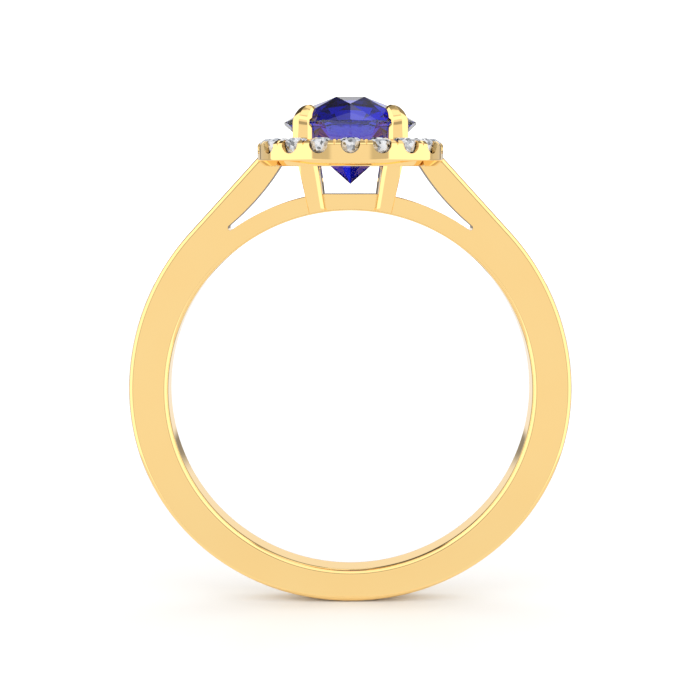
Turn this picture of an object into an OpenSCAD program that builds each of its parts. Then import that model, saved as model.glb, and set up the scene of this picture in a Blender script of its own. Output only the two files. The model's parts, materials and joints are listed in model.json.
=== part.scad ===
// Cathedral engagement ring: a plain band, a cushion halo of small stones, four claws
// and one round centre stone. The finger hole runs along Y, +Z points to the stone, and
// the origin is the centre of the finger hole. All sizes are in millimetres.

/* [Band] */
// Inside diameter of the band
inside_d = 16.9; // [16.5:0.05:17.1]
// Width of the band along the finger
band_w = 1.44; // [1.3:0.02:1.8]
// Thickness of the band at its sides
side_t = 1.82; // [1.7:0.02:2.0]
// Thickness of the band at the bottom
bottom_t = 1.57; // [1.4:0.01:1.75]
// Radius of the rounded edges of the band
edge_r = 0.2; // [0.1:0.02:0.28]
// Thickness of the bridge under the head
bridge_t = 0.86; // [0.7:0.02:0.95]

/* [Shoulders] */
// Slope of the shoulders
shoulder_slope = 47.2; // [46:0.1:48]
// Distance of the shoulder's outer face from the origin
shoulder_reach = 10.44; // [10.38:0.01:10.5]
// Radius of the hollow curve under each shoulder
window_curve_r = 11.5; // [11:0.1:12.5]
// Radius of the narrow corner of each window
window_tip_r = 0.11; // [0.08:0.01:0.16]

/* [Centre stone] */
// Diameter of the centre stone
stone_d = 6.0; // [5.8:0.05:6.1]
// Height of the top of its girdle above the origin
girdle_z = 12.43; // [12.35:0.01:12.5]
// Thickness of its girdle
girdle_t = 0.12; // [0.08:0.01:0.2]
// Height of its crown
crown_h = 1.1; // [0.9:0.02:1.2]
// Side of its square table
table_side = 1.26; // [1.1:0.02:1.6]
// Slope of its pavilion
pavilion_angle = 41.6; // [40:0.1:42]

/* [Halo] */
// Width of the halo across its flats
halo_w = 8.42; // [8.38:0.01:8.5]
// Half of the halo's width from corner to corner
halo_corner = 4.45; // [4.42:0.01:4.5]
// Radius of the halo's gently curved sides
halo_side_r = 7.0; // [6.8:0.1:7.4]
// Height of the underside of the halo
halo_z = 10.45; // [10.4:0.01:10.5]
// Height of the halo's wall
halo_h = 1.08; // [1.04:0.01:1.12]
// Width of the halo's rail
halo_rail_w = 1.25; // [1.15:0.01:1.3]
// Diameter of the small stones
melee_d = 1.06; // [0.9:0.01:1.08]

/* [Claws] */
// Distance of the outer claw faces from the middle at the halo
claw_reach = 2.52; // [2.5:0.01:2.54]
// Width of a claw's front face at the foot
claw_w = 0.79; // [0.7:0.01:0.82]

/* [Hidden] */
$fn = 96;
melee_count = 20;
inside_r = inside_d / 2;
outer_r = inside_r + side_t;
bottom_r = 10.9;
bottom_z = bottom_r - inside_r - bottom_t;
half_w = band_w / 2;
bridge_r = inside_r + bridge_t;
bridge_flat = 0.09;
bridge_flat_z = bridge_r - bridge_flat;
shoulder_bevel = 0.6 * edge_r;
blend_angle = 5;
blend_gap = (shoulder_reach - outer_r) / (1 - cos(90 - shoulder_slope - blend_angle));
blend_r = outer_r + blend_gap;
blend_z = outer_r * sin(blend_angle);
window_tip_angle = 54.6;
window_curve_angle = 50.5;
stone_r = stone_d / 2;
table_z = girdle_z + crown_h;
girdle_low_z = girdle_z - girdle_t;
table_corner_r = table_side / sqrt(2);
star_r = 0.56 * stone_r;
star_drop = 0.33 * crown_h;
star_z = table_z - star_drop;
star_tilt = atan(star_drop / (star_r - table_side / 2));
main_tilt = atan(crown_h / (stone_r - table_corner_r));
break_tilt = main_tilt + 5;
culet_z = girdle_low_z - stone_r * tan(pavilion_angle);
fine = 0.02;
space = 40;
halo_half = halo_w / 2;
side_shift = halo_side_r - halo_half;
corner_gap = halo_side_r - halo_corner;
corner_at = (corner_gap * corner_gap - side_shift * side_shift)
    / (2 * side_shift - 2 * sqrt(2) * corner_gap);
corner_r = halo_corner - sqrt(2) * corner_at;
side_angle = atan(corner_at / (corner_at + side_shift));
halo_top_z = halo_z + halo_h;
halo_bevel = 0.23;
halo_break = 0.17;
side_run = halo_side_r * side_angle * PI / 180;
corner_run = corner_r * (90 - 2 * side_angle) * PI / 180;
quarter_run = 2 * side_run + corner_run;
pitch = 4 * quarter_run / melee_count;
melee_inset = 0.6;
melee_table_z = halo_top_z + 0.12;
melee_crown = 0.17;
melee_girdle_z = melee_table_z - melee_crown;
melee_pavilion = 0.42 * melee_d;
melee_table_r = 0.28 * melee_d;
melee_hole_r = 0.2;
melee_seat_z = melee_girdle_z - 2 * fine;
scallop_r = 0.405;
scallop_z = halo_top_z - 0.145;
claw_foot_x = 1.86;
claw_foot_y = half_w + 0.58;
claw_foot_z = inside_r - 0.1;
claw_bend_z = 12.27;
claw_tip_r = 2.2;
foot_gap = 0.11;
foot_lean = 9.9;
claw_lean_z = 11.55;
claw_top_x = 1.56;
claw_top_y = 1.7;
claw_front_w = 0.57;
claw_front_top_w = 0.72;
claw_side_w = 0.45;
claw_edge = 0.08;
claw_edge_top = 0.26;
claw_half_w = 0.46;
claw_taper = 17;
hook_r = 0.88;
claw_taper_z = claw_bend_z + hook_r / 4;
notch_depth = 0.2;
notch_half_w = 0.07;
notch_reach = 0.3;
notch_rise = 2 * notch_depth;
notch_side = 2 * notch_half_w;

MELEE = [for (n = [1:melee_count]) str("melee_", n < 10 ? "0" : "", n)];

// A block that fills the space beyond a plane through p whose outward direction is n.
module beyond(p, n) {
    translate(p)
    rotate([0, acos(n[2] / norm(n)), atan2(n[1], n[0])])
    translate([-space / 2, -space / 2, 0])
    cube([space, space, space]);
}

// A block above a facet plane: azimuth az, distance r and height z of a point, slope tilt.
module facet(az, r, z, tilt) {
    beyond([r * cos(az), r * sin(az), z], [sin(tilt) * cos(az), sin(tilt) * sin(az), cos(tilt)]);
}

// An outline drawn in the XZ plane, made solid along Y.
module along_y(length) {
    translate([0, length / 2, 0])
    rotate([90, 0, 0])
    linear_extrude(length)
    children();
}

// An outline drawn in the YZ plane, made solid along X.
module along_x(length) {
    translate([-length / 2, 0, 0])
    rotate([90, 0, 90])
    linear_extrude(length)
    children();
}

// A disc on the Y axis, as wide as the band.
module disc(r) {
    rotate([90, 0, 0])
    cylinder(h = band_w, r = r, center = true);
}

// Band below the blend height: two discs give the thinner bottom.
module band_lower() {
    intersection() {
        disc(outer_r);
        translate([0, 0, bottom_z])
        disc(bottom_r);
        translate([-space / 2, -space / 2, blend_z - space])
        cube([space, space, space]);
    }
}

// Band above the blend height: two wider discs, planed off by the shoulder lines.
module band_upper() {
    difference() {
        intersection() {
            for_side(1)
            disc(blend_r);
            for_side(-1)
            disc(blend_r);
            translate([-space / 2, -space / 2, blend_z])
            cube([space, space, space]);
        }
        for (side = [-1, 1])
            shoulder_planes(side);
    }
}

// Moves a wide disc so that it touches the band's own circle on the given side.
module for_side(side) {
    translate([-side * blend_gap * cos(blend_angle), 0, -blend_gap * sin(blend_angle)])
    children();
}

// The shoulder's outer face, with a small bevel along both edges.
module shoulder_planes(side) {
    n = [side * sin(shoulder_slope), 0, cos(shoulder_slope)];
    beyond(n * shoulder_reach, n);
    for (edge = [-1, 1])
        beyond(n * (shoulder_reach - shoulder_bevel) + [0, edge * half_w, 0], n + [0, edge, 0]);
}

// The opening between shoulders and bridge.
module head_opening() {
    tip = (bridge_r + window_tip_r) * [cos(window_tip_angle), sin(window_tip_angle)];
    curve = tip + (window_curve_r + window_tip_r)
        * [cos(window_curve_angle), sin(window_curve_angle)];
    difference() {
        along_y(space / 2)
        polygon([[-tip[0], tip[1]], [0, inside_r], tip, [tip[0], space / 2], [-tip[0], space / 2]]);
        for (side = [-1, 1])
            translate([side * curve[0], 0, curve[1]])
            rotate([90, 0, 0])
            cylinder(h = space, r = window_curve_r, center = true);
        intersection() {
            disc(bridge_r);
            translate([-space / 2, -space / 2, bridge_flat_z - space])
            cube(space);
        }
    }
    for (side = [-1, 1])
        translate([side * tip[0], 0, tip[1]])
        rotate([90, 0, 0])
        cylinder(h = 2 * band_w, r = window_tip_r + fine / 2, center = true, $fn = 32);
}

// The finger hole, with its two rounded edges.
module finger_hole() {
    rotate([90, 0, 0])
    cylinder(h = space, r = inside_r, center = true);
    for (side = [-1, 1])
        rotate([side * 90, 0, 0])
        translate([0, 0, half_w - edge_r])
        difference() {
            cylinder(h = 2 * edge_r, r = inside_r + edge_r);
            rotate_extrude()
            translate([inside_r + edge_r, 0])
            circle(edge_r, $fn = 32);
        }
}

module shank() {
    color([1.0, 0.82, 0.5])
    difference() {
        union() {
            band_lower();
            band_upper();
        }
        finger_hole();
        head_opening();
        halo_block(halo_z, halo_z + halo_bevel, halo_bevel, 0);
        halo_block(halo_z + halo_bevel - fine / 2, space, 0, 0);
    }
}

// A slice of the halo's cushion shape between two heights, inset at its bottom and its top.
module halo_block(low, high, low_inset, high_inset) {
    far = halo_side_r * 1.2;
    for (turn = [0:90:270])
        rotate([0, 0, turn]) {
            translate([corner_at, corner_at, low])
            cylinder(h = high - low, r1 = corner_r - low_inset, r2 = corner_r - high_inset);
            intersection() {
                translate([-side_shift, 0, low])
                cylinder(h = high - low, r1 = halo_side_r - low_inset,
                    r2 = halo_side_r - high_inset);
                translate([-side_shift, 0, low])
                linear_extrude(high - low)
                polygon([[0, 0], far * [cos(side_angle), -sin(side_angle)],
                    far * [cos(side_angle), sin(side_angle)]]);
            }
        }
}

// Direction and place of a point on the halo's outline, a run of length s from the +X flat.
function heading(s) = s < side_run ? s / halo_side_r * 180 / PI
    : s > quarter_run - side_run ? 90 - (quarter_run - s) / halo_side_r * 180 / PI
    : side_angle + (s - side_run) / corner_r * 180 / PI;
function on_outline(s, inset) = s < side_run
    ? (halo_side_r - inset) * [cos(heading(s)), sin(heading(s))] - [side_shift, 0]
    : s > quarter_run - side_run
    ? (halo_side_r - inset) * [cos(heading(s)), sin(heading(s))] - [0, side_shift]
    : [corner_at, corner_at] + (corner_r - inset) * [cos(heading(s)), sin(heading(s))];

// Puts children at place n of the halo, facing outward along +X; halves fall between stones.
module at_halo(n, inset) {
    quarter = floor(n * pitch / quarter_run);
    run = n * pitch - quarter * quarter_run;
    rotate([0, 0, 90 * quarter])
    translate(on_outline(run, inset))
    rotate([0, 0, heading(run)])
    children();
}

// The seat of one small stone: a recess, a cone, a hole to the back and a scallop in front.
module melee_seat() {
    seat_r = melee_d / 2 + fine;
    cone_h = seat_r - melee_hole_r;
    translate([0, 0, melee_seat_z])
    cylinder(h = halo_h, r = seat_r);
    translate([0, 0, melee_seat_z - cone_h])
    cylinder(h = cone_h, r1 = melee_hole_r, r2 = seat_r);
    translate([0, 0, melee_seat_z - cone_h - halo_h])
    cylinder(h = halo_h + fine, r = melee_hole_r, $fn = 32);
    translate([0, 0, scallop_z])
    rotate([0, 90, 0])
    cylinder(h = 2 * melee_inset, r = scallop_r, $fn = 48);
    translate([0, -scallop_r, scallop_z])
    cube([2 * melee_inset, 2 * scallop_r, halo_h]);
}

// The V cut that splits the prong between two stones.
module prong_notch() {
    translate([-notch_reach, 0, halo_top_z - notch_depth])
    rotate([0, 90, 0])
    linear_extrude(2 * notch_reach)
    polygon([[0, 0], [-notch_rise, notch_side], [-notch_rise, -notch_side]]);
}

module halo() {
    color([1.0, 0.84, 0.52])
    difference() {
        union() {
            halo_block(halo_z, halo_z + halo_bevel, halo_bevel, 0);
            halo_block(halo_z + halo_bevel, halo_top_z - halo_break, 0, 0);
            halo_block(halo_top_z - halo_break, halo_top_z, 0, halo_break);
        }
        halo_block(halo_z - halo_h, halo_top_z + halo_h, halo_rail_w, halo_rail_w);
        for (n = [0:melee_count - 1])
            at_halo(n, melee_inset)
            melee_seat();
        for (n = [0:melee_count - 1])
            at_halo(n + 0.5, 0)
            prong_notch();
        for (x = [0, 1], y = [0, 1])
            mirror([x, 0, 0])
            mirror([0, y, 0])
            claw_body();
    }
}

// Outer corner line of the claw that stands in the +X, +Y quarter.
function claw_rise(z) = (z - claw_foot_z) / (claw_lean_z - claw_foot_z);
function claw_corner(z) = [claw_foot_x + claw_rise(z) * (claw_reach - claw_foot_x),
    claw_foot_y + claw_rise(z) * (claw_reach - claw_foot_y), z];

// Cuts along a leaning edge, through points a (foot) and b (halo) and along direction c.
module edge_cut(a, b, c) {
    beyond(a, cross(b - a, c));
}

// Outline of a claw seen square on: a leaning leg that turns into a hook.
module claw_outline(foot_out, foot_in, top_in) {
    polygon([[foot_in, 0], [foot_out, 0], [foot_out, claw_foot_z],
        [claw_reach, claw_lean_z], [claw_reach, claw_bend_z], [claw_reach - hook_r, claw_bend_z],
        [top_in, claw_lean_z], [foot_in, bridge_flat_z]]);
    intersection() {
        translate([claw_reach - hook_r, claw_bend_z])
        circle(hook_r);
        translate([0, claw_bend_z - fine])
        square(2 * claw_reach);
    }
}

// The room that the centre stone takes up, as a turned shape.
module stone_room() {
    room_r = stone_r + fine;
    translate([0, 0, culet_z - fine])
    cylinder(h = girdle_low_z - culet_z, r1 = fine, r2 = room_r);
    translate([0, 0, girdle_low_z - 2 * fine])
    cylinder(h = girdle_t + 3 * fine, r = room_r);
    translate([0, 0, girdle_z + fine])
    cylinder(h = crown_h, r1 = room_r, r2 = table_corner_r + fine);
}

// The claw in the +X, +Y quarter.
module claw_body() {
    low = claw_corner(claw_foot_z);
    high = claw_corner(claw_lean_z);
    foot_out = [-sin(foot_lean), 0, -cos(foot_lean)];
    difference() {
        intersection() {
            along_y(space)
            claw_outline(claw_foot_x, claw_foot_x - claw_w, claw_top_x);
            along_x(space)
            claw_outline(claw_foot_y, half_w, claw_top_y);
        }
        edge_cut(low - [claw_front_w, 0, 0], high - [claw_front_top_w, 0, 0], [1, 1.2, 0]);
        edge_cut(low - [0, claw_side_w, 0], high - [0, claw_front_top_w, 0], [-1, -1, 0]);
        edge_cut(low - [claw_edge, 0, 0], high - [claw_edge_top, 0, 0], [1, -1, 0]);
        beyond([claw_reach - claw_edge_top, claw_reach, 0], [1, 1, 0]);
        for (side = [0, 1])
            mirror([side, -side, 0])
            claw_narrowing();
        rotate([0, 0, 45])
        translate([claw_tip_r - space, -space / 2, claw_bend_z])
        cube(space);
        stone_room();
        beyond(-(inside_r + foot_gap) * foot_out, foot_out);
    }
}

// Trims one side of the upper claw: parallel at the halo, then drawn in to the tip.
module claw_narrowing() {
    side_at = claw_half_w * sqrt(2);
    translate([claw_reach, claw_reach - side_at, claw_lean_z])
    rotate([0, 0, 45])
    translate([-space / 2, -space, 0])
    cube(space);
    translate([claw_reach, claw_reach - side_at, claw_taper_z])
    rotate([0, 0, 45 - claw_taper])
    translate([-space / 2, -space, 0])
    cube(space);
}

module claw(x, y) {
    color([1.0, 0.85, 0.55])
    mirror([x, 0, 0])
    mirror([0, y, 0])
    claw_body();
}

// The centre stone: square table, four stars, four mains, eight side and sixteen girdle
// facets above the girdle; eight mains and sixteen girdle facets below it.
module centre_stone() {
    corner = [table_corner_r * cos(45), table_corner_r * sin(45), table_z];
    star = [star_r, 0, star_z];
    girdle = [stone_r * cos(22.5), stone_r * sin(22.5), girdle_z];
    front = [stone_r, 0, girdle_z];
    flat_r = stone_r * cos(11.25);
    low_r = stone_r / 4 / cos(22.5) * cos(11.25);
    low_z = culet_z + (girdle_low_z - culet_z) / 4;
    low_tilt = atan((girdle_low_z - low_z) / (flat_r - low_r));
    color([0.16, 0.18, 0.72])
    difference() {
        translate([0, 0, culet_z])
        cylinder(h = table_z - culet_z, r = stone_r);
        for (az = [0:90:270]) {
            facet(az, table_side / 2, table_z, star_tilt);
            facet(az + 45, table_corner_r, table_z, main_tilt);
            for (side = [0, 1])
                rotate([0, 0, az])
                mirror([0, side, 0]) {
                    beyond(star, cross(front - star, girdle - star));
                    beyond(star, cross(girdle - star, corner - star));
                    facet(33.75, flat_r, girdle_z, break_tilt);
                }
        }
        for (az = [0:45:315])
            facet(az, stone_r, girdle_low_z, 180 - pavilion_angle);
        for (az = [11.25:22.5:360])
            facet(az, flat_r, girdle_low_z, 180 - low_tilt);
    }
}

// A small round stone: table, crown, girdle and pavilion, turned about its own axis.
module melee(n) {
    color([0.93, 0.95, 0.98])
    at_halo(n - 1, melee_inset)
    translate([0, 0, melee_girdle_z])
    rotate_extrude()
    polygon([[0, -melee_pavilion], [melee_d / 2, -fine], [melee_d / 2, fine],
        [melee_table_r, melee_crown], [0, melee_crown]]);
}

shank();
halo();
claw(0, 1);  // claw_front_right
claw(1, 1);  // claw_front_left
claw(1, 0);  // claw_back_left
claw(0, 0);  // claw_back_right
centre_stone();
for (n = [1:melee_count])
    melee(n);
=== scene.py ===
"""A cathedral engagement ring, dressed for a studio picture: polished gold, a violet-blue
centre stone and a halo of small brilliants. Lengths are in millimetres until the last step
of each mesh, which turns them into metres."""

import json
import math
import random

import bmesh
import bpy
from mathutils import Matrix, Vector
from mathutils.geometry import tessellate_polygon


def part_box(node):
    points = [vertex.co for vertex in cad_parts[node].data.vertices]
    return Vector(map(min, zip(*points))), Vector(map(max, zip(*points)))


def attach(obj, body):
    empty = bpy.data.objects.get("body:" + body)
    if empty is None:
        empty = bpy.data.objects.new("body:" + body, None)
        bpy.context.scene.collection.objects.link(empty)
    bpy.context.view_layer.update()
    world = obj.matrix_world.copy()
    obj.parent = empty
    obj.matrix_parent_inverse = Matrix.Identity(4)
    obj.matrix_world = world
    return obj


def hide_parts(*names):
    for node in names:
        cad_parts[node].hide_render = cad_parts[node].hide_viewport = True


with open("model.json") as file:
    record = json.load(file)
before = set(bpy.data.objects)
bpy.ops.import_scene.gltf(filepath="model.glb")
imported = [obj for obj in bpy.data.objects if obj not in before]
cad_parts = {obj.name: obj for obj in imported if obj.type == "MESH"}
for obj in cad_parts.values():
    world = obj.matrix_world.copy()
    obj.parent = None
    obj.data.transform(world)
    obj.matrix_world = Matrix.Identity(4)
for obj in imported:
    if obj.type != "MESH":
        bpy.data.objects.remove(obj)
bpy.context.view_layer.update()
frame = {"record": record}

MM = 0.001


# ---------------------------------------------------------------- sizes from the frame

def box_mm(node):
    """Lowest and highest corner of a CAD node, in millimetres."""
    low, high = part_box(node)
    return low / MM, high / MM


shank_low, shank_high = box_mm("shank")
halo_low, halo_high = box_mm("halo")
stone_low, stone_high = box_mm("centre_stone")
_, claw_high = box_mm("claw_back_right")
melee_low, melee_high = box_mm("melee_01")
bore = frame["record"]["mounts"][0]

# the band, its bridge under the head and its two shoulders
INSIDE_R = bore["dims"]["r_mm"]
HALF_W = shank_high.y
EDGE_R = 0.22
HOLE_EDGE_R = 0.24
OUTER_R = INSIDE_R + 1.82
BOTTOM_R = -shank_low.z
BRIDGE_R = INSIDE_R + 0.86
BRIDGE_FLAT_Z = BRIDGE_R - 0.09
SHOULDER_SLOPE = math.radians(47.2)
SHOULDER_REACH = 10.44
BLEND_START = math.radians(5)

# the halo: half its width, its reach to a corner, the radius of its sides, its rail's width
HALO_LOW = halo_low.z
HALO_HIGH = halo_high.z
HALO_HALF = halo_high.x
HALO_CORNER = 4.45
HALO_SIDE_R = 7.0
HALO_RAIL = 1.25

# the small stones; their pavilions go deeper than the CAD's, to fill the scallops
MELEE_COUNT = 20
MELEE_R = (melee_high.x - melee_low.x) / 2
MELEE_INSET = 0.6
MELEE_TOP = melee_high.z
MELEE_GIRDLE_Z = MELEE_TOP - 0.17
MELEE_LOW = melee_low.z - 0.11

# the centre stone
STONE_R = stone_high.x
TABLE_Z = stone_high.z
CULET_Z = stone_low.z
CROWN_H = 1.1
GIRDLE_T = 0.12
GIRDLE_Z = TABLE_Z - CROWN_H
TABLE_SIDE = 1.26
TABLE_CORNER = TABLE_SIDE / math.sqrt(2)

# the claws: where the straight legs end and where they start to bend over the stone
KNEE_Z = 11.55
HOOK_Z = 12.2


# ---------------------------------------------------------------- small mesh tools

def to_object(name, bm, material):
    """Turns a bmesh in millimetres into an object in metres that stands in the frame."""
    bmesh.ops.scale(bm, vec=(MM, MM, MM), verts=bm.verts)
    bmesh.ops.recalc_face_normals(bm, faces=bm.faces)
    mesh = bpy.data.meshes.new(name)
    bm.to_mesh(mesh)
    bm.free()
    mesh.materials.append(material)
    obj = bpy.data.objects.new(name, mesh)
    bpy.context.scene.collection.objects.link(obj)
    return obj


def piece(obj, node):
    """Makes an object stand for a CAD node: it hangs on the root body and the node is hidden."""
    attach(obj, "root")
    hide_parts(node)


def loft(bm, rings, closed_loop=False):
    """Faces between rings of points, which all have the same number of points. The ends are
    capped, unless the last ring joins the first."""
    made = [[bm.verts.new(p) for p in ring] for ring in rings]
    pairs = list(zip(made, made[1:]))
    if closed_loop:
        pairs.append((made[-1], made[0]))
    count = len(made[0])
    for a, b in pairs:
        for i in range(count):
            j = (i + 1) % count
            bm.faces.new((a[i], a[j], b[j], b[i]))
    if not closed_loop:
        bm.faces.new(list(reversed(made[0])))
        bm.faces.new(made[-1])


def cut_convex(bm, point, normal):
    """Planes off what lies beyond a plane and closes the cut, for a convex solid."""
    geometry = list(bm.verts) + list(bm.edges) + list(bm.faces)
    cut = bmesh.ops.bisect_plane(
        bm, geom=geometry, dist=1e-5, plane_co=point, plane_no=normal, clear_outer=True
    )
    edges = [e for e in cut["geom_cut"] if isinstance(e, bmesh.types.BMEdge)]
    edges = [e for e in edges if e.is_valid and e.is_boundary]
    if edges:
        bmesh.ops.edgeloop_fill(bm, edges=edges)


def make_real(obj, modifier):
    """Replaces an object's mesh by what a modifier makes of it."""
    bpy.context.view_layer.update()
    graph = bpy.context.evaluated_depsgraph_get()
    result = bpy.data.meshes.new_from_object(obj.evaluated_get(graph))
    obj.modifiers.remove(modifier)
    obj.data = result


def cut_away(obj, cutter):
    """Cuts one solid away from another and removes the cutter."""
    modifier = obj.modifiers.new("cut", "BOOLEAN")
    modifier.operation = "DIFFERENCE"
    modifier.solver = "MANIFOLD"
    modifier.object = cutter
    make_real(obj, modifier)
    bpy.data.objects.remove(cutter)


def shade(obj, angle):
    """Smooth shading that keeps edges sharper than the angle."""
    for face in obj.data.polygons:
        face.use_smooth = True
    obj.data.set_sharp_from_angle(angle=math.radians(angle))


def even_normals(obj):
    """Weights corner normals by face area, so that narrow roundings don't bend flat faces."""
    modifier = obj.modifiers.new("even", "WEIGHTED_NORMAL")
    modifier.mode = "FACE_AREA"
    modifier.weight = 60
    modifier.keep_sharp = True
    make_real(obj, modifier)


def mix(a, b, t):
    """The value at a share t of the way from a to b."""
    return a + (b - a) * t


def smooth_step(t):
    """Eases from 0 to 1."""
    t = min(1.0, max(0.0, t))
    return t * t * (3 - 2 * t)


# ---------------------------------------------------------------- materials

def new_material(name):
    """A material with its node tree and its shader."""
    material = bpy.data.materials.new(name)
    material.use_nodes = True
    tree = material.node_tree
    return material, tree, tree.nodes["Principled BSDF"]


def add_noise(tree, scale, detail=3.0, distortion=0.0):
    """A noise texture in object coordinates, with its scale given per metre."""
    place = tree.nodes.new("ShaderNodeTexCoord")
    noise = tree.nodes.new("ShaderNodeTexNoise")
    noise.inputs["Scale"].default_value = scale
    noise.inputs["Detail"].default_value = detail
    noise.inputs["Distortion"].default_value = distortion
    tree.links.new(place.outputs["Object"], noise.inputs["Vector"])
    return noise


def add_range(tree, source, low, high):
    """Maps 0..1 to low..high."""
    node = tree.nodes.new("ShaderNodeMapRange")
    node.inputs["To Min"].default_value = low
    node.inputs["To Max"].default_value = high
    tree.links.new(source, node.inputs["Value"])
    return node.outputs["Result"]


def gold_material(name, rough_low, rough_high, wave):
    """Polished yellow gold with faint polishing waves and uneven gloss."""
    material, tree, shader = new_material(name)
    shader.inputs["Metallic"].default_value = 1.0
    tone = add_noise(tree, 260.0)
    ramp = tree.nodes.new("ShaderNodeValToRGB")
    ramp.color_ramp.elements[0].position = 0.3
    ramp.color_ramp.elements[0].color = (1.0, 0.69, 0.285, 1)
    ramp.color_ramp.elements[1].position = 0.7
    ramp.color_ramp.elements[1].color = (1.0, 0.705, 0.300, 1)
    tree.links.new(tone.outputs["Fac"], ramp.inputs["Fac"])
    tree.links.new(ramp.outputs["Color"], shader.inputs["Base Color"])
    gloss = add_noise(tree, 2400.0, detail=5.0)
    tree.links.new(add_range(tree, gloss.outputs["Fac"], rough_low, rough_high),
                   shader.inputs["Roughness"])
    waves = add_noise(tree, 420.0, detail=1.0)
    bump = tree.nodes.new("ShaderNodeBump")
    bump.inputs["Strength"].default_value = wave
    bump.inputs["Distance"].default_value = 0.00002
    tree.links.new(waves.outputs["Fac"], bump.inputs["Height"])
    tree.links.new(bump.outputs["Normal"], shader.inputs["Normal"])
    return material


def add_math(tree, operation, *values):
    """A math node; each value is a number or an output of another node."""
    node = tree.nodes.new("ShaderNodeMath")
    node.operation = operation
    for socket, value in zip(node.inputs, values):
        if isinstance(value, float):
            socket.default_value = value
        else:
            tree.links.new(value, socket)
    return node.outputs[0]


def gem_material(name, deep, bright, below):
    """A blue crystal with a little zoning, with painted shade and light in its colour: facets that
    face one diagonal are painted deeper than those that face the other, and the part under the girdle
    is painted paler."""
    material, tree, shader = new_material(name)
    shader.inputs["Transmission Weight"].default_value = 1.0
    shader.inputs["Roughness"].default_value = 0.0
    shader.inputs["IOR"].default_value = 1.7
    zone = add_noise(tree, 500.0, detail=2.0, distortion=0.6)
    place = tree.nodes.new("ShaderNodeTexCoord")
    facing = tree.nodes.new("ShaderNodeSeparateXYZ")
    tree.links.new(place.outputs["Normal"], facing.inputs["Vector"])
    # painted shade: the colour turns deeper or brighter by which diagonal a facet faces
    diagonal = add_math(tree, "MULTIPLY", facing.outputs["X"], facing.outputs["Y"])
    drift = add_math(tree, "MULTIPLY_ADD", zone.outputs["Fac"], 0.5, 0.25)
    share = add_math(tree, "MULTIPLY_ADD", diagonal, -11.0, drift)
    ramp = tree.nodes.new("ShaderNodeValToRGB")
    ramp.color_ramp.elements[0].color = deep
    ramp.color_ramp.elements[1].color = bright
    tree.links.new(share, ramp.inputs["Fac"])
    spot = tree.nodes.new("ShaderNodeSeparateXYZ")
    tree.links.new(place.outputs["Object"], spot.inputs["Vector"])
    # painted light: everything under the girdle gets a paler colour
    girdle = (GIRDLE_Z - GIRDLE_T / 2) * MM
    under = add_math(tree, "LESS_THAN", spot.outputs["Z"], girdle)
    blend = tree.nodes.new("ShaderNodeMix")
    blend.data_type = "RGBA"
    factor, crown_colour, painted_pale_colour = (blend.inputs[i] for i in (0, 6, 7))
    tree.links.new(under, factor)
    tree.links.new(ramp.outputs["Color"], crown_colour)
    painted_pale_colour.default_value = below
    tree.links.new(blend.outputs[2], shader.inputs["Base Color"])
    return material


def sparkle_material(name):
    """A colourless brilliant under a glassy surface, with painted reflections: small cells of light,
    grey and dark in its colour stand in for its many inner reflections."""
    material, tree, shader = new_material(name)
    shader.inputs["Transmission Weight"].default_value = 0.3
    shader.inputs["Roughness"].default_value = 0.0
    shader.inputs["IOR"].default_value = 2.4
    place = tree.nodes.new("ShaderNodeTexCoord")
    cells = tree.nodes.new("ShaderNodeTexVoronoi")
    cells.inputs["Scale"].default_value = 8000.0
    tree.links.new(place.outputs["Object"], cells.inputs["Vector"])
    split = tree.nodes.new("ShaderNodeSeparateColor")
    tree.links.new(cells.outputs["Color"], split.inputs["Color"])
    # painted reflections: the ramp gives dark, grey and light cells in the base colour
    ramp = tree.nodes.new("ShaderNodeValToRGB")
    ramp.color_ramp.interpolation = "CONSTANT"
    ramp.color_ramp.elements[0].position = 0.0
    ramp.color_ramp.elements[0].color = (0.03, 0.034, 0.04, 1)
    ramp.color_ramp.elements[1].position = 0.14
    ramp.color_ramp.elements[1].color = (0.32, 0.34, 0.38, 1)
    for position, colour in ((0.34, (0.52, 0.55, 0.60, 1)), (0.52, (0.82, 0.84, 0.88, 1))):
        ramp.color_ramp.elements.new(position).color = colour
    tree.links.new(split.outputs["Red"], ramp.inputs["Fac"])
    tree.links.new(ramp.outputs["Color"], shader.inputs["Base Color"])
    return material


def add_absorption(material, colour, density):
    """Makes thick parts of a gem deeper in colour than thin ones."""
    tree = material.node_tree
    volume = tree.nodes.new("ShaderNodeVolumeAbsorption")
    volume.inputs["Color"].default_value = colour
    volume.inputs["Density"].default_value = density
    tree.links.new(volume.outputs["Volume"], tree.nodes["Material Output"].inputs["Volume"])


band_gold = gold_material("band_gold", 0.02, 0.06, 0.10)
head_gold = gold_material("head_gold", 0.03, 0.08, 0.12)
# the split between the deep and the bright colour is painted facet shade; the pale colour is a painted
# lighter pavilion
blue_gem = gem_material("blue_gem", (0.002, 0.002, 0.24, 1), (0.008, 0.018, 0.72, 1),
                        (0.80, 0.90, 0.72, 1))
add_absorption(blue_gem, (0.14, 0.13, 0.90, 1), 520.0)
white_gem = sparkle_material("white_gem")


# ---------------------------------------------------------------- shank

def outer_radius(angle):
    """Radius of the band's outside below the blend, thinner towards the bottom."""
    fall = smooth_step((-math.degrees(angle) - 15) / 75)
    return mix(OUTER_R, BOTTOM_R, fall)


def blend_circle():
    """Centre and radius of the arc that carries the band's side into the shoulder line."""
    turn = math.pi / 2 - SHOULDER_SLOPE - BLEND_START
    gap = (SHOULDER_REACH - OUTER_R) / (1 - math.cos(turn))
    centre = (-gap * math.cos(BLEND_START), -gap * math.sin(BLEND_START))
    return centre, OUTER_R + gap


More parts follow.
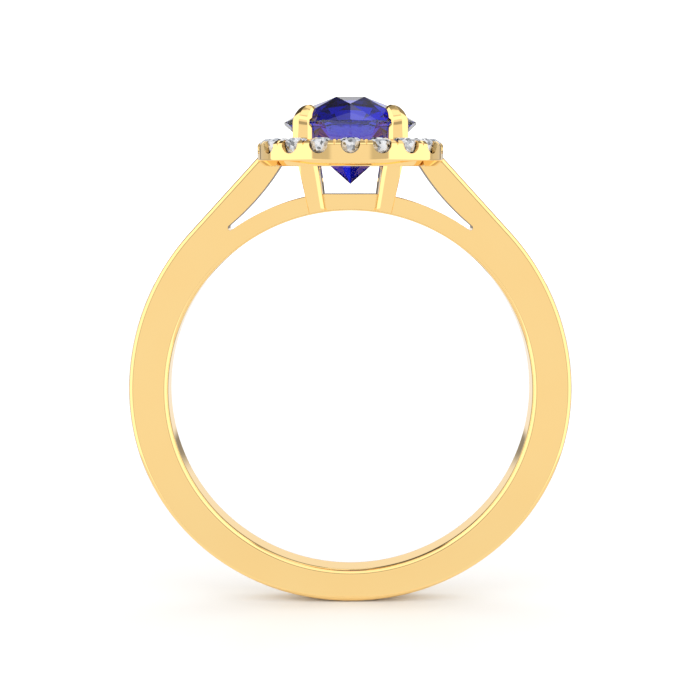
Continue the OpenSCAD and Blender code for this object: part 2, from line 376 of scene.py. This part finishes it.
def half_contour():
    """Right half of the shank seen from the front, from the bottom up over the shoulder
    and back down to the middle of the bridge: (x, z, edge radius, sharp corner)."""
    points = []
    band_steps, blend_steps, line_steps = 90, 36, 12
    for i in range(band_steps + 1):
        angle = mix(-math.pi / 2, BLEND_START, i / band_steps)
        r = outer_radius(angle)
        points.append((r * math.cos(angle), r * math.sin(angle), EDGE_R, False))
    (cx, cz), r = blend_circle()
    end = math.pi / 2 - SHOULDER_SLOPE
    for i in range(1, blend_steps + 1):
        angle = mix(BLEND_START, end, i / blend_steps)
        points.append((cx + r * math.cos(angle), cz + r * math.sin(angle), EDGE_R, False))
    along = Vector((-math.sin(end), math.cos(end)))
    start = Vector(points[-1][:2])
    inside_halo = 0.04
    wall = HALO_HALF - inside_halo
    run = (start.x - wall) / -along.x
    for i in range(1, line_steps + 1):
        p = start + along * run * i / line_steps
        points.append((p.x, p.y, EDGE_R, i == line_steps))
    hidden = 0.25
    points.append((wall - hidden, HALO_LOW + hidden, 0.05, True))
    points += window_edge(HALO_LOW + hidden)
    return points


def window_edge(top_z):
    """Inner edge of the shoulder, the narrow end of the window and the top of the bridge, all
    with nearly sharp edges."""
    thin = 0.03
    tip_r = 0.11
    curve_r = 11.5
    tip_at = math.radians(54.6)
    tip = (BRIDGE_R + tip_r) * Vector((math.cos(tip_at), math.sin(tip_at)))
    lean = math.radians(50.5)
    centre = tip + (curve_r + tip_r) * Vector((math.cos(lean), math.sin(lean)))
    top_angle = math.pi + math.asin((centre.y - top_z) / curve_r)
    foot_angle = lean + math.pi
    points = []
    for i in range(25):
        angle = mix(top_angle, foot_angle, i / 24)
        p = centre + curve_r * Vector((math.cos(angle), math.sin(angle)))
        points.append((p.x, p.y, thin, i == 0))
    turn_end = tip_at + math.pi
    for i in range(1, 13):
        angle = mix(lean, tip_at - math.pi, i / 12)
        p = tip + tip_r * Vector((math.cos(angle), math.sin(angle)))
        points.append((p.x, p.y, thin, False))
    flat_angle = math.asin(BRIDGE_FLAT_Z / BRIDGE_R)
    for i in range(1, 33):
        angle = mix(tip_at, flat_angle, i / 32)
        points.append((BRIDGE_R * math.cos(angle), BRIDGE_R * math.sin(angle), thin, i == 32))
    points.append((0.0, BRIDGE_FLAT_Z, thin, False))
    return points


def mirrored(half):
    """The whole outline from its right half, which starts and ends on the middle line."""
    left = [(-x, z, r, sharp) for x, z, r, sharp in reversed(half[1:-1])]
    return half + left


def contour_frames(points):
    """For each point of a counter-clockwise outline: place, mitred outward direction and
    the outward directions of the stretches before and after it."""
    count = len(points)
    least_mitre = 0.35
    at = [Vector(p[:2]) for p in points]
    side = []
    for i in range(count):
        step = (at[(i + 1) % count] - at[i]).normalized()
        side.append(Vector((step.y, -step.x)))
    frames = []
    for i in range(count):
        before, after = side[i - 1], side[i]
        middle = (before + after).normalized()
        reach = 1 / max(least_mitre, middle.dot(after))
        if points[i][3]:
            frames.append((at[i], middle * reach, before, after, points[i][2]))
        else:
            frames.append((at[i], middle * reach, middle, middle, points[i][2]))
    return frames


def edge_levels(steps=6):
    """Steps from the front face round its edge, along the wall and round the back edge: the
    side (-1 front, 1 back), the inset as a share of the edge radius, and how far the normal
    leans towards that side."""
    levels = []
    for i in range(steps + 1):
        turn = math.pi / 2 * (1 - i / steps)
        levels.append((-1, 1 - math.cos(turn), math.sin(turn)))
    return levels + [(1, inset, lean) for _, inset, lean in reversed(levels)]


def edge_normal(outward, level):
    """The normal on a rounded edge, from the wall's outward direction and the level."""
    side, _, lean = level
    flat = outward * math.sqrt(max(0.0, 1 - lean * lean))
    return Vector((flat.x, side * lean, flat.y)).normalized()


def add_wall(verts, faces, normals, points):
    """Adds the wall along an outline, with both its edges rounded. Returns the loops where it
    meets the front face and the back face."""
    frames = contour_frames(points)
    levels = edge_levels()
    rings = []
    for side, inset, lean in levels:
        ring = []
        for at, miter, _, _, r in frames:
            p = at - miter * r * inset
            ring.append(len(verts))
            verts.append((p.x, side * (HALF_W - r * (1 - lean)), p.y))
        rings.append(ring)
    count = len(points)
    for k in range(len(levels) - 1):
        ring, below = rings[k], rings[k + 1]
        for i in range(count):
            j = (i + 1) % count
            leaving, arriving = frames[i][3], frames[j][2]
            faces.append((ring[i], below[i], below[j], ring[j]))
            normals.append([edge_normal(leaving, levels[k]), edge_normal(leaving, levels[k + 1]),
                            edge_normal(arriving, levels[k + 1]), edge_normal(arriving, levels[k])])
    return rings[0], rings[-1]


def add_flat(verts, faces, normals, loops, side):
    """Fills the flat front or back face between the outer loop and the hole's loop."""
    flat = [[Vector((verts[v][0], verts[v][2], 0)) for v in loop] for loop in loops]
    index = [v for loop in loops for v in loop]
    for triangle in tessellate_polygon(flat):
        face = [index[t] for t in triangle]
        a, b, c = (Vector(verts[v]) for v in face)
        if (b - a).cross(c - a).y * side < 0:
            face.reverse()
        faces.append(tuple(face))
        normals.append([Vector((0, side, 0))] * 3)


def hole_contour(count=256):
    """The finger hole, clockwise, because its wall faces inward."""
    points = []
    for i in range(count):
        angle = -math.tau * i / count
        points.append((INSIDE_R * math.cos(angle), INSIDE_R * math.sin(angle), HOLE_EDGE_R, False))
    return points


def build_shank():
    """The band with its shoulders and bridge: two walls and two flat faces, with exact normals."""
    verts, faces, normals = [], [], []
    outer_front, outer_back = add_wall(verts, faces, normals, mirrored(half_contour()))
    hole_front, hole_back = add_wall(verts, faces, normals, hole_contour())
    add_flat(verts, faces, normals, (outer_front, hole_front), -1)
    add_flat(verts, faces, normals, (outer_back, hole_back), 1)
    mesh = bpy.data.meshes.new("shank")
    mesh.from_pydata([(x * MM, y * MM, z * MM) for x, y, z in verts], [], faces)
    for face in mesh.polygons:
        face.use_smooth = True
    mesh.normals_split_custom_set([tuple(n) for corner in normals for n in corner])
    mesh.materials.append(band_gold)
    obj = bpy.data.objects.new("band", mesh)
    bpy.context.scene.collection.objects.link(obj)
    piece(obj, "shank")


# ---------------------------------------------------------------- halo

class Cushion:
    """The halo's outline: four gently curved sides joined by rounder corners."""

    def __init__(self):
        """Each side's circle is centred beyond the middle by the shift. The corner's circle
        touches its two neighbours and reaches HALO_CORNER on the diagonal."""
        self.shift = HALO_SIDE_R - HALO_HALF
        gap = HALO_SIDE_R - HALO_CORNER
        self.corner_at = (gap ** 2 - self.shift ** 2) / (2 * self.shift - 2 * math.sqrt(2) * gap)
        self.corner_r = HALO_CORNER - math.sqrt(2) * self.corner_at
        self.turn = math.atan(self.corner_at / (self.corner_at + self.shift))
        self.side_run = HALO_SIDE_R * self.turn
        self.quarter = 2 * self.side_run + self.corner_r * (math.pi / 2 - 2 * self.turn)

    def at(self, share, inset=0.0):
        """Place and heading of the point at a share of the way round, from +X."""
        quarter, run = divmod(share % 1.0 * 4 * self.quarter, self.quarter)
        if run < self.side_run:
            heading = run / HALO_SIDE_R
            centre, r = Vector((-self.shift, 0)), HALO_SIDE_R
        elif run > self.quarter - self.side_run:
            heading = math.pi / 2 - (self.quarter - run) / HALO_SIDE_R
            centre, r = Vector((0, -self.shift)), HALO_SIDE_R
        else:
            heading = self.turn + (run - self.side_run) / self.corner_r
            centre, r = Vector((self.corner_at, self.corner_at)), self.corner_r
        out = Vector((math.cos(heading), math.sin(heading)))
        spin = Matrix.Rotation(quarter * math.pi / 2, 2)
        return spin @ (centre + out * (r - inset)), heading + quarter * math.pi / 2

    def outward(self, p):
        """Level outward direction of the wall at a place on or near the outline."""
        spin = Matrix.Rotation(round(math.atan2(p.y, p.x) / (math.pi / 2)) * math.pi / 2, 2)
        q = spin.transposed() @ p
        lean = math.atan2(q.y, q.x + self.shift)
        if abs(lean) < self.turn:
            out = Vector((math.cos(lean), math.sin(lean)))
        else:
            out = (q - Vector((self.corner_at, math.copysign(self.corner_at, q.y)))).normalized()
        return spin @ out


cushion = Cushion()


def rounded_outline(corners, steps=4):
    """A closed outline from corners (a, b, radius), with each corner rounded by an arc."""
    count = len(corners)
    points = []
    for i in range(count):
        before = Vector(corners[i - 1][:2])
        here = Vector(corners[i][:2])
        after = Vector(corners[(i + 1) % count][:2])
        a, b = (before - here).normalized(), (after - here).normalized()
        half = a.angle(b) / 2
        reach = min(corners[i][2] / math.tan(half), (before - here).length * 0.48,
                    (after - here).length * 0.48)
        p, q = here + a * reach, here + b * reach
        for k in range(steps):
            t = k / (steps - 1)
            curve = (1 - t) ** 2 * p + 2 * t * (1 - t) * here + t ** 2 * q
            points.append(curve)
    return points


def rail_profile():
    """Cross-section of the halo's rail as (inset, height)."""
    high, low, rail = HALO_HIGH, HALO_LOW, HALO_RAIL
    return rounded_outline([
        (0.29, low, 0.1), (0.0, low + 0.25, 0.12), (0.0, high - 0.14, 0.12),
        (0.14, high, 0.08), (rail - 0.08, high, 0.05), (rail, high - 0.08, 0.05),
        (rail, low + 0.1, 0.05), (rail - 0.1, low, 0.05)])


def halo_rail():
    """The plain rail, before its seats are cut."""
    profile = rail_profile()
    columns = 640
    rings = []
    for i in range(columns):
        ring = []
        for inset, z in profile:
            p, _ = cushion.at(i / columns, inset)
            ring.append((p.x, p.y, z))
        rings.append(ring)
    bm = bmesh.new()
    loft(bm, rings, closed_loop=True)
    return to_object("halo_rail", bm, head_gold)


def turned(bm, profile, place, heading, sides=40):
    """A turned closed solid on a vertical axis; profile is (radius, z), from low to high."""
    rings = []
    for r, z in profile:
        ring = []
        for i in range(sides):
            a = heading + math.tau * i / sides
            ring.append((place.x + r * math.cos(a), place.y + r * math.sin(a), z))
        rings.append(ring)
    loft(bm, rings)


def bar(bm, section, place, heading, near, far):
    """A straight bar along a heading; its section is (sideways, above the halo's top)."""
    out = Vector((math.cos(heading), math.sin(heading)))
    across = Vector((-out.y, out.x))
    rings = []
    for reach in (near, far):
        p = place + out * reach
        rings.append([(p.x + across.x * a, p.y + across.y * a, HALO_HIGH + z) for a, z in section])
    loft(bm, rings)


def trough(bm, place, heading, near, far):
    """A U-shaped channel that runs outward from the seat through the wall."""
    r = 0.405
    centre_z = -0.145
    section = [(r, 1.0)]
    for i in range(25):
        a = -math.pi * i / 24
        section.append((r * math.cos(a), centre_z + r * math.sin(a)))
    section.append((-r, 1.0))
    bar(bm, section, place, heading, near, far)


def notch(bm, place, heading):
    """The V that splits the prong between two stones into a fishtail."""
    section = [(0.0, -0.22), (0.09, 0.02), (0.3, 0.5), (-0.3, 0.5), (-0.09, 0.02)]
    bar(bm, section, place, heading, -0.42, 0.3)


def halo_cutters():
    """Three cutters, each made of parts that don't touch: seats, scallops and notches."""
    hole_r, seat_r = 0.2, MELEE_R + 0.015
    seat = [(hole_r, HALO_LOW - 0.5), (hole_r, MELEE_LOW - 0.09), (0.49, MELEE_LOW + 0.04),
            (seat_r, MELEE_GIRDLE_Z - 0.03), (seat_r, HALO_HIGH + 0.6)]
    seats, scallops, notches = bmesh.new(), bmesh.new(), bmesh.new()
    for n in range(MELEE_COUNT):
        place, heading = cushion.at(n / MELEE_COUNT, MELEE_INSET)
        turned(seats, seat, place, heading)
        trough(scallops, place, heading, 0.0, MELEE_INSET + 0.5)
        split, split_heading = cushion.at((n + 0.5) / MELEE_COUNT)
        notch(notches, split, split_heading)
    return [to_object("halo_cutter", bm, head_gold) for bm in (seats, scallops, notches)]


def bead(bm, place):
    """The rounded tip of a small prong."""
    matrix = Matrix.Translation((place.x, place.y, HALO_HIGH)) @ Matrix.Diagonal((1, 1, 0.9, 1))
    bmesh.ops.create_uvsphere(bm, u_segments=20, v_segments=12, radius=0.1, matrix=matrix)


def halo_beads():
    """Pairs of prong tips along the inside of the row of stones."""
    bm = bmesh.new()
    for n in range(MELEE_COUNT):
        for lean in (-0.09, 0.09):
            inner, _ = cushion.at((n + 0.5 + lean) / MELEE_COUNT, HALO_RAIL - 0.16)
            bead(bm, inner)
    beads = to_object("halo_beads", bm, head_gold)
    shade(beads, 60)
    return beads


def true_wall(obj):
    """Gives the outer wall the cushion's own normals, so that cuts don't disturb its shine."""
    upright, on_wall = 0.03, 0.97
    mesh = obj.data
    normals = [corner.vector.copy() for corner in mesh.corner_normals]
    for face in mesh.polygons:
        if abs(face.normal.z) > upright:
            continue
        out = cushion.outward(face.center.xy / MM)
        if face.normal.xy.dot(out) < on_wall:
            continue
        for corner in face.loop_indices:
            place = mesh.vertices[mesh.loops[corner].vertex_index].co
            normals[corner] = cushion.outward(place.xy / MM).to_3d()
    mesh.normals_split_custom_set([tuple(n) for n in normals])


def build_halo():
    """The rail with its seats, scallops and notches, and the prong tips."""
    rail = halo_rail()
    for cutter in halo_cutters():
        cut_away(rail, cutter)
    shade(rail, 28)
    even_normals(rail)
    true_wall(rail)
    piece(rail, "halo")
    beads = halo_beads()
    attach(beads, "root")


# ---------------------------------------------------------------- stones

def blank(radius, low, high, sides):
    """An uncut stone: a short round bar."""
    bm = bmesh.new()
    around = [math.tau * i / sides for i in range(sides)]
    loft(bm, [[(radius * math.cos(a), radius * math.sin(a), z) for a in around]
              for z in (low, high)])
    return bm


def facet(bm, azimuth, reach, z, tilt):
    """Cuts a facet: azimuth and tilt in degrees, through the point at that reach and height."""
    a, t = math.radians(azimuth), math.radians(tilt)
    normal = Vector((math.sin(t) * math.cos(a), math.sin(t) * math.sin(a), math.cos(t)))
    cut_convex(bm, (reach * math.cos(a), reach * math.sin(a), z), normal)


def facet_through(bm, a, b, c):
    """Cuts a facet through three points, facing away from the stone's middle."""
    normal = (b - a).cross(c - a).normalized()
    if normal.z < 0:
        normal.negate()
    cut_convex(bm, a, normal)


def polar(r, azimuth, z):
    """The point at a radius, an azimuth in degrees and a height."""
    a = math.radians(azimuth)
    return Vector((r * math.cos(a), r * math.sin(a), z))


def steepness(rise, run):
    """Tilt in degrees of a slope."""
    return math.degrees(math.atan(rise / run))


def centre_stone():
    """Square table, four stars, four mains, side and girdle facets; round girdle; eight
    pavilion mains with sixteen girdle facets."""
    low_girdle = GIRDLE_Z - GIRDLE_T
    star_r, star_z = 0.56 * STONE_R, TABLE_Z - 0.33 * CROWN_H
    flat_r = STONE_R * math.cos(math.radians(11.25))
    star_tilt = steepness(TABLE_Z - star_z, star_r - TABLE_SIDE / 2)
    main_tilt = steepness(CROWN_H, STONE_R - TABLE_CORNER)
    pavilion_tilt = steepness(low_girdle - CULET_Z, STONE_R)
    low_r = STONE_R / 4 / math.cos(math.radians(22.5)) * math.cos(math.radians(11.25))
    low_z = CULET_Z + (low_girdle - CULET_Z) / 4
    low_tilt = steepness(low_girdle - low_z, flat_r - low_r)
    bm = blank(STONE_R, CULET_Z, TABLE_Z, sides=96)
    for quarter in range(0, 360, 90):
        facet(bm, quarter, TABLE_SIDE / 2, TABLE_Z, star_tilt)
        facet(bm, quarter + 45, TABLE_CORNER, TABLE_Z, main_tilt)
        star = polar(star_r, quarter, star_z)
        front = polar(STONE_R, quarter, GIRDLE_Z)
        for side in (-1, 1):
            girdle = polar(STONE_R, quarter + side * 22.5, GIRDLE_Z)
            corner = polar(TABLE_CORNER, quarter + side * 45, TABLE_Z)
            facet_through(bm, star, front, girdle)
            facet_through(bm, star, girdle, corner)
            facet(bm, quarter + side * 33.75, flat_r, GIRDLE_Z, main_tilt + 5)
    for n in range(8):
        facet(bm, n * 45, STONE_R, low_girdle, 180 - pavilion_tilt)
    for n in range(16):
        facet(bm, 11.25 + n * 22.5, flat_r, low_girdle, 180 - low_tilt)
    piece(to_object("blue_stone", bm, blue_gem), "centre_stone")


def brilliant(place, heading, wobble):
    """A small round brilliant with a full pavilion; its facets lean a little unevenly, as on
    real stones this small."""
    r = MELEE_R
    girdle_high, girdle_low = MELEE_GIRDLE_Z + 0.015, MELEE_GIRDLE_Z - 0.015
    table_r = 0.56 * r
    bm = blank(r, MELEE_LOW, MELEE_TOP, sides=32)
    main_tilt = steepness(MELEE_TOP - girdle_high, r - table_r)
    flat_r = r * math.cos(math.radians(11.25))
    star_r = table_r * math.cos(math.radians(22.5))
    depth = girdle_low - MELEE_LOW

    def cut(azimuth, reach, z, tilt, play):
        """A facet with a little play in its azimuth and its tilt."""
        turn, lean = wobble.uniform(-play, play), wobble.uniform(-play, play)
        facet(bm, azimuth + turn, reach, z, tilt + lean)

    for n in range(8):
        cut(n * 45, table_r, MELEE_TOP, main_tilt, 2)
        cut(n * 45 + 22.5, star_r, MELEE_TOP, main_tilt * 0.66, 2)
        cut(n * 45, 0.0, MELEE_LOW, 180 - 8, 3)
        cut(n * 45 + 22.5, 0.72 * r, MELEE_LOW + 0.12 * depth, 180 - 38, 6)
    for n in range(16):
        cut(11.25 + n * 22.5, flat_r, girdle_high, main_tilt + 7, 3)
        cut(11.25 + n * 22.5, flat_r, girdle_low, 180 - 80, 4)
        cut(n * 22.5, 0.9 * r, MELEE_LOW + 0.36 * depth, 180 - 63, 7)
    bmesh.ops.rotate(bm, cent=(0, 0, 0), matrix=Matrix.Rotation(heading, 3, "Z"), verts=bm.verts)
    bmesh.ops.translate(bm, vec=(place.x, place.y, 0), verts=bm.verts)
    return bm


def build_stones():
    """The centre stone and the ring of small brilliants."""
    centre_stone()
    wobble = random.Random(7)
    for n in range(MELEE_COUNT):
        place, heading = cushion.at(n / MELEE_COUNT, MELEE_INSET)
        stone = to_object(f"brilliant_{n + 1:02d}", brilliant(place, heading, wobble), white_gem)
        piece(stone, f"melee_{n + 1:02d}")


# ---------------------------------------------------------------- claws

def claw_section(outer_x, outer_y, size, edge):
    """Corners of a level cut through a claw, back from its outer corner."""
    face, side, depth = 0.66 * size, 0.14 * size, 0.96 * size
    back = face + 0.2 * size
    shape = [(0, edge, 0.05), (edge, 0, 0.05), (face, 0, 0.06), (back, side, 0.06),
             (depth, depth, 0.1), (side, back, 0.06), (0, face, 0.06)]
    return rounded_outline([(outer_x - a, outer_y - b, r) for a, b, r in shape])


def leg_rings():
    """Level sections from the foot to the girdle of the claw in the +X, +Y quarter."""
    foot = Vector((1.86, HALF_W + 0.58, INSIDE_R - 0.1))
    top = Vector((claw_high.x, claw_high.y, KNEE_Z))
    trim = INSIDE_R + 0.11
    leg_steps, knee_steps = 17, 5
    rings = []
    for i in range(leg_steps + 1):
        t = i / leg_steps
        outer = foot.lerp(top, t)
        size = mix(0.86, 1.0, smooth_step(t * 1.4))
        edge = mix(0.05, 0.24, smooth_step((t - 0.45) * 1.8))
        ring = []
        for x, y in claw_section(outer.x, outer.y, size, edge):
            low = math.sqrt(trim ** 2 - min(x, trim * 0.9) ** 2)
            ring.append(Vector((x, y, max(outer.z, low))))
        rings.append(ring)
    for i in range(1, knee_steps + 1):
        t = i / knee_steps
        z = mix(KNEE_Z, HOOK_Z, t)
        section = claw_section(top.x, top.y, 1.0, mix(0.24, 0.27, t))
        rings.append([Vector((x, y, z)) for x, y in section])
    return rings


# the back of the hook, root to tip: (reach outward, height, width as a share of the leg's)
HOOK_BACK = (
    (3.37, 12.34, 0.98), (3.35, 12.48, 0.94), (3.29, 12.63, 0.87), (3.19, 12.78, 0.79),
    (3.05, 12.92, 0.7), (2.88, 13.03, 0.61), (2.7, 13.1, 0.52), (2.53, 13.12, 0.42),
    (2.39, 13.08, 0.3), (2.3, 12.99, 0.14))


def hook_rings(last):
    """Sections that bend over the crown, drawn in towards the tip."""
    crown_slope = CROWN_H / (STONE_R - TABLE_CORNER)
    tip_s = 2.2
    out = Vector((1, 1, 0)).normalized()
    across = Vector((1, -1, 0)).normalized()
    reach = [p.dot(out) for p in last]
    far, near = max(reach), min(reach)
    depth = [(far - r) / (far - near) for r in reach]
    spread = [p.dot(across) for p in last]
    rings = []
    for i, (s, z, w) in enumerate(HOOK_BACK):
        t = (i + 1) / len(HOOK_BACK)
        foot_s = mix(near, tip_s, smooth_step(t))
        crown_z = TABLE_Z - (foot_s - TABLE_CORNER) * crown_slope
        foot_z = mix(HOOK_Z + 0.12 * t, crown_z - 0.05, smooth_step(t * 1.2))
        ring = []
        for d, p in zip(depth, spread):
            place = Vector((s, z)).lerp(Vector((foot_s, foot_z)), d)
            ring.append(out * place.x + across * p * w + Vector((0, 0, place.y)))
        rings.append(ring)
    return rings


def smooth_rings(rings, between=3):
    """More rings on a smooth curve through the given ones."""
    result = []
    last = len(rings) - 1
    for i in range(last):
        a, b, c, d = (rings[max(0, i - 1)], rings[i], rings[i + 1], rings[min(last, i + 2)])
        for k in range(between):
            t = k / between
            ring = []
            for p, q, r, s in zip(a, b, c, d):
                ring.append(0.5 * (2 * q + (r - p) * t + (2 * p - 5 * q + 4 * r - s) * t * t
                                   + (3 * q - p - 3 * r + s) * t ** 3))
            result.append(ring)
    result.append(rings[-1])
    return result


def stone_room():
    """The centre stone's space, a little larger than the stone."""
    gap = 0.012
    bm = bmesh.new()
    turned(bm, [(0.02, CULET_Z - 0.02), (STONE_R + gap, GIRDLE_Z - GIRDLE_T - gap),
                (STONE_R + gap, GIRDLE_Z + gap), (TABLE_CORNER + gap, TABLE_Z + gap),
                (0.05, TABLE_Z + gap + 0.01)], Vector((0, 0)), 0.0, sides=96)
    return to_object("stone_room", bm, head_gold)


def build_claws():
    """One claw in each quarter, mirrored from the +X, +Y one."""
    legs = leg_rings()
    rings = smooth_rings(legs + hook_rings(legs[-1]))
    for name, x_side, y_side in (("claw_back_right", 1, 1), ("claw_back_left", -1, 1),
                                 ("claw_front_right", 1, -1), ("claw_front_left", -1, -1)):
        bm = bmesh.new()
        loft(bm, [[(p.x * x_side, p.y * y_side, p.z) for p in ring] for ring in rings])
        claw = to_object(name.replace("claw", "prong"), bm, head_gold)
        cut_away(claw, stone_room())
        shade(claw, 26)
        even_normals(claw)
        piece(claw, name)


# ---------------------------------------------------------------- studio

def stage_plate(name, size_x, size_y, drop, material):
    """A thin oval sheet just below the ring."""
    bm = bmesh.new()
    bmesh.ops.create_circle(bm, cap_ends=True, segments=128, radius=1.0)
    bmesh.ops.scale(bm, vec=(size_x, size_y, 1.0), verts=bm.verts)
    bmesh.ops.translate(bm, vec=(0, 0, shank_low.z - drop), verts=bm.verts)
    plate = to_object(name, bm, material)
    return plate


def build_floor():
    """The floor itself stays out of the polished metal's reflections, which show the
    softboxes instead. Only the small patch that the band stands on is mirrored, to keep the
    narrow gap beside the contact dark."""
    material, _, shader = new_material("studio_floor")
    shader.inputs["Roughness"].default_value = 0.3
    shader.inputs["Specular IOR Level"].default_value = 0.25
    shader.inputs["Base Color"].default_value = (0.76, 0.76, 0.755, 1)
    floor = stage_plate("floor", 170.0, 170.0, 0.005, material)
    floor.visible_glossy = False
    stage_plate("floor_contact", 6.0, 1.5, 0.003, material)


class Pattern:
    """Soft-edged patches of light on the inside of a sphere. Directions are given by side,
    the signed angle round the object from the front; turn, the same without its sign; height
    above the level; and spread, the whole angle from the front."""

    def __init__(self, tree):
        self.tree = tree
        place = tree.nodes.new("ShaderNodeTexCoord")
        split = tree.nodes.new("ShaderNodeSeparateXYZ")
        tree.links.new(place.outputs["Generated"], split.inputs["Vector"])
        x, y, z = split.outputs
        front = self.math("MULTIPLY", y, -1.0)
        self.spread = self.math("ARCCOSINE", front)
        self.side = self.math("ARCTAN2", x, front)
        self.turn = self.math("ABSOLUTE", self.side)
        self.height = self.math("ARCSINE", z)

    def math(self, operation, *values):
        """A math node in the world's tree."""
        return add_math(self.tree, operation, *values)

    def rise(self, value, start, end):
        """0 below the start angle and 1 above the end angle, in degrees."""
        node = self.tree.nodes.new("ShaderNodeMapRange")
        node.interpolation_type = "SMOOTHSTEP"
        node.inputs["From Min"].default_value = math.radians(start)
        node.inputs["From Max"].default_value = math.radians(end)
        self.tree.links.new(value, node.inputs["Value"])
        return node.outputs["Result"]

    def window(self, value, low, high, soft):
        """1 between two angles and 0 outside them."""
        return self.math("SUBTRACT", self.rise(value, low - soft, low + soft),
                         self.rise(value, high - soft, high + soft))

    def patch(self, base, around, up, level, soft):
        """Sets the level inside a patch, in degrees: (value, low, high) round the object and
        (low, high) upward."""
        inside = self.math("MULTIPLY", self.window(*around, soft), self.window(self.height, *up, soft))
        gap = self.math("SUBTRACT", level, base)
        return self.math("MULTIPLY_ADD", inside, gap, base)


def softboxes(pattern):
    """The level of light from each direction. Later patches lie over earlier ones."""
    turn, side, spread = pattern.turn, pattern.side, pattern.spread
    level = 0.97
    for around, up, patch_level, soft in (
            ((spread, -10, 20), (-30, -15), 0.93, 3.0),     # faint shade low in front
            ((turn, -10, 190), (52, 95), 0.2, 3.0),         # dark ceiling
            ((turn, -10, 80), (52, 74), 1.0, 3.0),          # light front part of the ceiling
            ((turn, 112, 190), (28, 52), 0.3, 2.0),         # dark back wall, high
            ((turn, 112, 150), (14, 52), 0.3, 2.0),         # dark back corners
            ((turn, 172, 190), (33, 45), 1.6, 1.0),         # small lamp straight behind
            ((side, 100, 179), (52, 76), 0.8, 2.0),         # light part of the ceiling, right
            ((side, -171, -110), (26, 76), 0.08, 2.0),      # black card on the left, behind
            ((turn, 15, 31), (-26, 50), 0.66, 2.0),         # gap before the side boxes
            ((turn, -10, 31), (6, 17), 0.45, 1.5),          # dark bar in front, camera height
            ((spread, 31, 110), (-26, 50), 1.45, 1.0),      # the two large side boxes
            ((spread, 110, 160), (-26, 26), 0.6, 1.0),      # gap behind the side boxes
            ((turn, 117, 160), (-1, 14), 0.7, 1.0),         # lighter strip, low behind
            ((turn, 146, 151), (-1, 14), 0.2, 1.0),         # dark line in it
            ((turn, 165, 190), (-7, 2), 0.3, 0.7)):         # dark horizon behind
        level = pattern.patch(level, around, up, patch_level, soft)
    return level


def build_world():
    """White for the eye and the floor; softboxes and dark gaps for polished metal and gems."""
    world = bpy.data.worlds.new("studio")
    bpy.context.scene.world = world
    world.use_nodes = True
    world.cycles.sampling_method = "NONE"
    tree = world.node_tree
    plain = tree.nodes["Background"]
    plain.inputs["Color"].default_value = (1.0, 1.0, 1.0, 1)
    plain.inputs["Strength"].default_value = 1.46
    pattern = Pattern(tree)
    level = softboxes(pattern)
    boxes = tree.nodes.new("ShaderNodeBackground")
    boxes.inputs["Color"].default_value = (1.0, 1.0, 1.0, 1)
    tree.links.new(level, boxes.inputs["Strength"])
    ray = tree.nodes.new("ShaderNodeLightPath")
    mirrored_ray = pattern.math("MAXIMUM", ray.outputs["Is Glossy Ray"],
                                ray.outputs["Is Transmission Ray"])
    blend = tree.nodes.new("ShaderNodeMixShader")
    tree.links.new(mirrored_ray, blend.inputs["Fac"])
    tree.links.new(plain.outputs["Background"], blend.inputs[1])
    tree.links.new(boxes.outputs["Background"], blend.inputs[2])
    tree.links.new(blend.outputs["Shader"], tree.nodes["World Output"].inputs["Surface"])


def build_studio():
    """The world, a broad overhead light and the floor."""
    build_world()
    light = bpy.data.lights.new("overhead_box", "SUN")
    light.angle = math.radians(70)
    light.energy = 0.3
    sun = bpy.data.objects.new("overhead_box", light)
    sun.location = (0, 0, 0.2)
    bpy.context.scene.collection.objects.link(sun)
    build_floor()


def build_camera():
    """Low in front of the ring, looking a little down on its middle."""
    tilt = math.radians(8.316)
    distance = 57.36
    aside, aim_z = -0.016, 1.977
    back, up = distance * math.cos(tilt), distance * math.sin(tilt)
    data = bpy.data.cameras.new("camera")
    data.lens = 63.27
    data.sensor_width = 36.0
    data.clip_start = 0.001
    camera = bpy.data.objects.new("camera", data)
    camera.location = Vector((aside, -back, aim_z + up)) * MM
    camera.rotation_euler = (math.pi / 2 - tilt, 0, 0)
    bpy.context.scene.collection.objects.link(camera)
    bpy.context.scene.camera = camera
    bpy.context.scene.view_settings.view_transform = "Standard"


build_shank()
build_halo()
build_stones()
build_claws()
build_studio()
build_camera()
